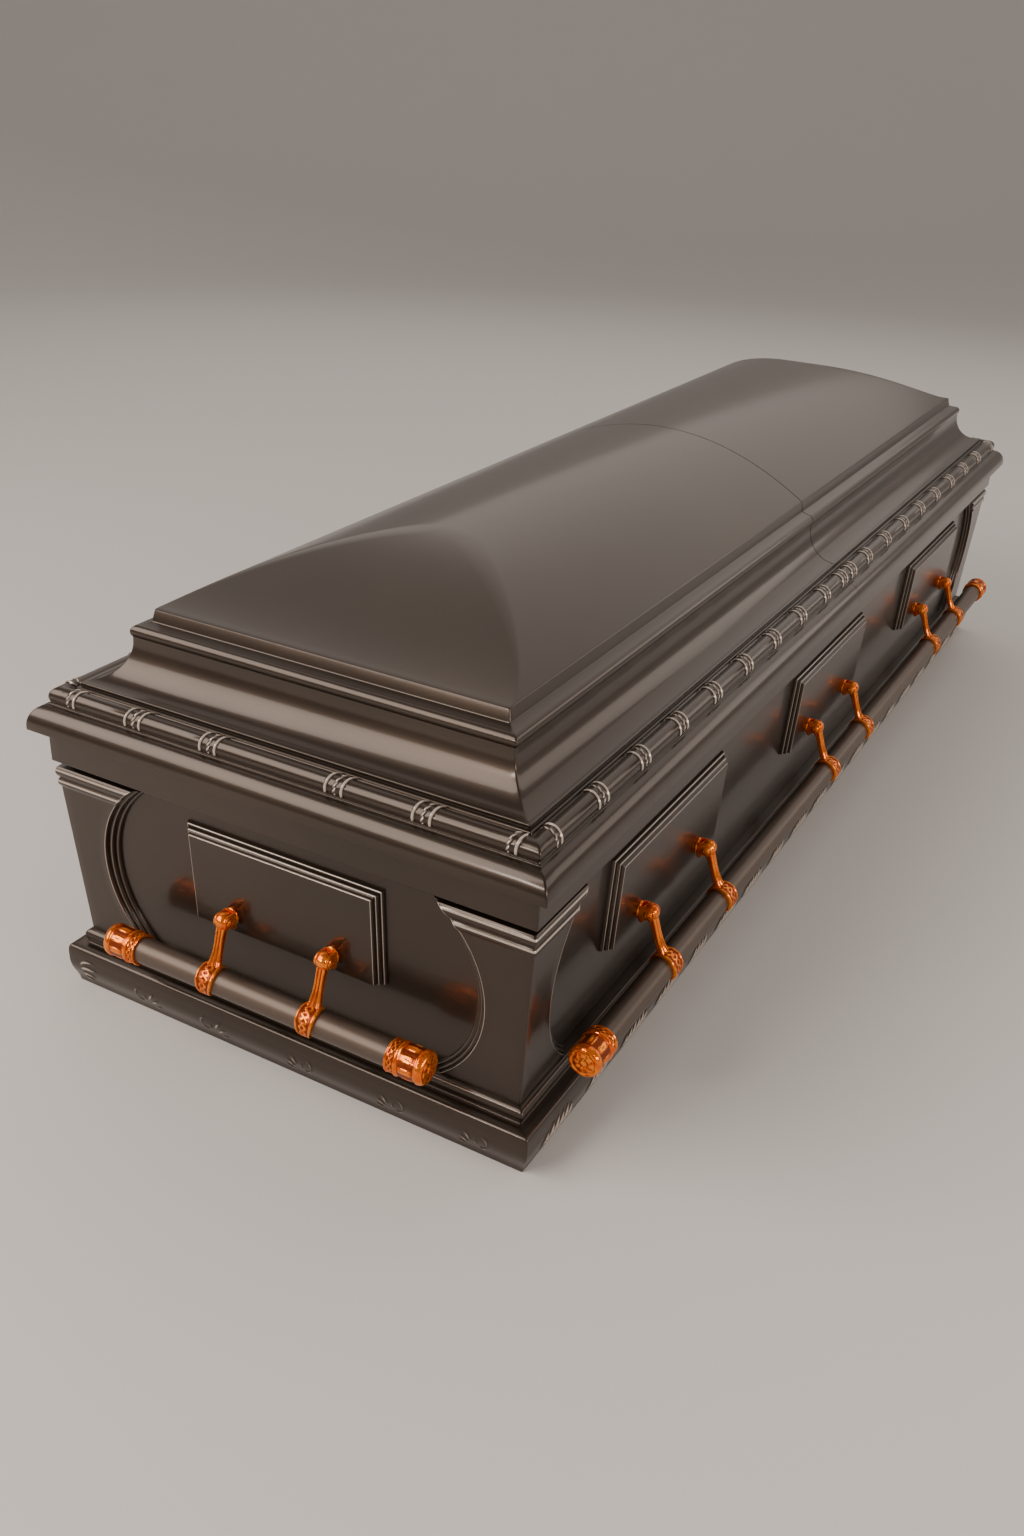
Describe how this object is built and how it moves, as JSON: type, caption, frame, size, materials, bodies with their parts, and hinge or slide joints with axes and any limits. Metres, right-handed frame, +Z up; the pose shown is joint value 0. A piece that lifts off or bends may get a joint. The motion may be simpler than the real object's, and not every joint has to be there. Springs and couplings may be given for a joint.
{
  "type": "metal casket",
  "caption": "Sheet-metal burial casket with a two-part domed lid, moulded rim and base, corner posts, raised panels and swinging bar handles along its sides and ends.",
  "frame": {"origin": "middle of the underside, on the surface the casket stands on", "axes": "+X along the casket from the head end to the foot end, +Y to the back, +Z up"},
  "size_m": [2.199, 0.809, 0.6165],
  "materials": {
    "taupe_enamel": "warm taupe metallic enamel, satin to gloss",
    "polished_copper": "polished copper plate"
  },
  "bodies": {
    "casket": {"body_shell": "taupe_enamel", "base_moulding": "taupe_enamel", "rim_head": "taupe_enamel", "rim_foot": "taupe_enamel", "lid_head": "taupe_enamel", "lid_foot": "taupe_enamel", "front_lug_1": "polished_copper", "front_lug_2": "polished_copper", "front_lug_3": "polished_copper", "front_lug_4": "polished_copper", "front_lug_5": "polished_copper", "front_lug_6": "polished_copper", "back_lug_1": "polished_copper", "back_lug_2": "polished_copper", "back_lug_3": "polished_copper", "back_lug_4": "polished_copper", "back_lug_5": "polished_copper", "back_lug_6": "polished_copper", "head_lug_1": "polished_copper", "head_lug_2": "polished_copper", "foot_lug_1": "polished_copper", "foot_lug_2": "polished_copper"},
    "front_handle": {"front_bar": "taupe_enamel", "front_cap_left": "polished_copper", "front_cap_right": "polished_copper", "front_arm_1": "polished_copper", "front_arm_2": "polished_copper", "front_arm_3": "polished_copper", "front_arm_4": "polished_copper", "front_arm_5": "polished_copper", "front_arm_6": "polished_copper"},
    "back_handle": {"back_bar": "taupe_enamel", "back_cap_left": "polished_copper", "back_cap_right": "polished_copper", "back_arm_1": "polished_copper", "back_arm_2": "polished_copper", "back_arm_3": "polished_copper", "back_arm_4": "polished_copper", "back_arm_5": "polished_copper", "back_arm_6": "polished_copper"},
    "head_handle": {"head_bar": "taupe_enamel", "head_cap_left": "polished_copper", "head_cap_right": "polished_copper", "head_arm_1": "polished_copper", "head_arm_2": "polished_copper"},
    "foot_handle": {"foot_bar": "taupe_enamel", "foot_cap_left": "polished_copper", "foot_cap_right": "polished_copper", "foot_arm_1": "polished_copper", "foot_arm_2": "polished_copper"}
  },
  "joints": [
    {"name": "front_handle_swing", "type": "hinge", "parent": "casket", "child": "front_handle", "pos_m": [0, -0.3585, 0.201], "axis": [-1, 0, 0], "range_deg": [0, 80]},
    {"name": "back_handle_swing", "type": "hinge", "parent": "casket", "child": "back_handle", "pos_m": [0, 0.3585, 0.201], "axis": [1, 0, 0], "range_deg": [0, 80]},
    {"name": "head_handle_swing", "type": "hinge", "parent": "casket", "child": "head_handle", "pos_m": [-1.0535, 0, 0.201], "axis": [0, 1, 0], "range_deg": [0, 80]},
    {"name": "foot_handle_swing", "type": "hinge", "parent": "casket", "child": "foot_handle", "pos_m": [1.0535, 0, 0.201], "axis": [0, -1, 0], "range_deg": [0, 80]}
  ]
}
